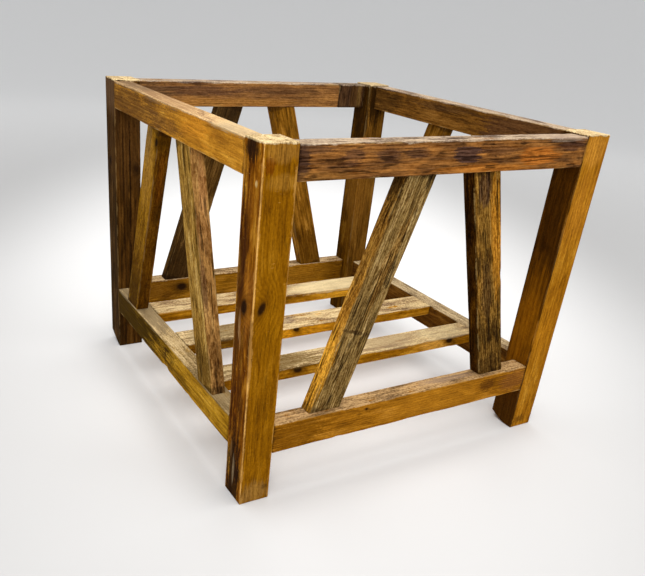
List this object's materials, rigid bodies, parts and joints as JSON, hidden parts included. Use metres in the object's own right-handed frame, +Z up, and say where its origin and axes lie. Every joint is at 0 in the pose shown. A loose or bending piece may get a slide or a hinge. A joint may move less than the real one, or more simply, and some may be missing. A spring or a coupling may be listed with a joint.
{
  "type": "hay rack feeder",
  "caption": "Square open-topped timber rack with corner posts, top and bottom rails, slanted side bars and a slatted floor.",
  "frame": {"origin": "centre of the footprint, on the floor plane under the feet", "axes": "+Z up; the front side faces -Y, the left side faces -X; the slats run along X"},
  "size_m": [0.742, 0.748, 0.64],
  "materials": {
    "golden_post": "honey-stained pine with rubbed, paler corners",
    "amber_rail": "honey-stained pine, satin",
    "smoked_rail": "dark stained pine with open grain cracks",
    "weathered_bar": "rough-sawn pine weathered to grey-brown",
    "umber_bar": "dark brown stained pine, dull",
    "bleached_slat": "pale worn pine, matt",
    "plain_dowel": "bare hardwood dowel"
  },
  "bodies": {
    "root": {"front_left_leg": "golden_post", "front_right_leg": "golden_post", "back_left_leg": "golden_post", "back_right_leg": "golden_post", "front_top_rail": "smoked_rail", "right_top_rail": "smoked_rail", "back_top_rail": "smoked_rail", "back_top_rail_end_block": "smoked_rail", "left_top_rail": "amber_rail", "front_bottom_rail": "amber_rail", "right_bottom_rail": "amber_rail", "back_bottom_rail": "amber_rail", "left_bottom_rail": "amber_rail", "front_left_brace": "weathered_bar", "front_right_brace": "weathered_bar", "left_back_brace": "weathered_bar", "left_front_brace": "weathered_bar", "right_front_brace": "umber_bar", "right_back_brace": "umber_bar", "back_right_brace": "umber_bar", "back_left_brace": "umber_bar", "floor_slat_front": "bleached_slat", "floor_slat_middle": "bleached_slat", "floor_slat_back": "bleached_slat", "front_left_brace_foot_dowel": "plain_dowel", "front_left_brace_head_dowel": "plain_dowel", "front_right_brace_foot_dowel": "plain_dowel", "front_right_brace_head_dowel": "plain_dowel", "right_front_brace_foot_dowel": "plain_dowel", "right_front_brace_head_dowel": "plain_dowel", "right_back_brace_foot_dowel": "plain_dowel", "right_back_brace_head_dowel": "plain_dowel", "back_right_brace_foot_dowel": "plain_dowel", "back_right_brace_head_dowel": "plain_dowel", "back_left_brace_foot_dowel": "plain_dowel", "back_left_brace_head_dowel": "plain_dowel", "left_back_brace_foot_dowel": "plain_dowel", "left_back_brace_head_dowel": "plain_dowel", "left_front_brace_foot_dowel": "plain_dowel", "left_front_brace_head_dowel": "plain_dowel", "floor_slat_front_left_dowel": "plain_dowel", "floor_slat_front_right_dowel": "plain_dowel", "floor_slat_middle_left_dowel": "plain_dowel", "floor_slat_middle_right_dowel": "plain_dowel", "floor_slat_back_left_dowel": "plain_dowel", "floor_slat_back_right_dowel": "plain_dowel"}
  },
  "joints": []
}
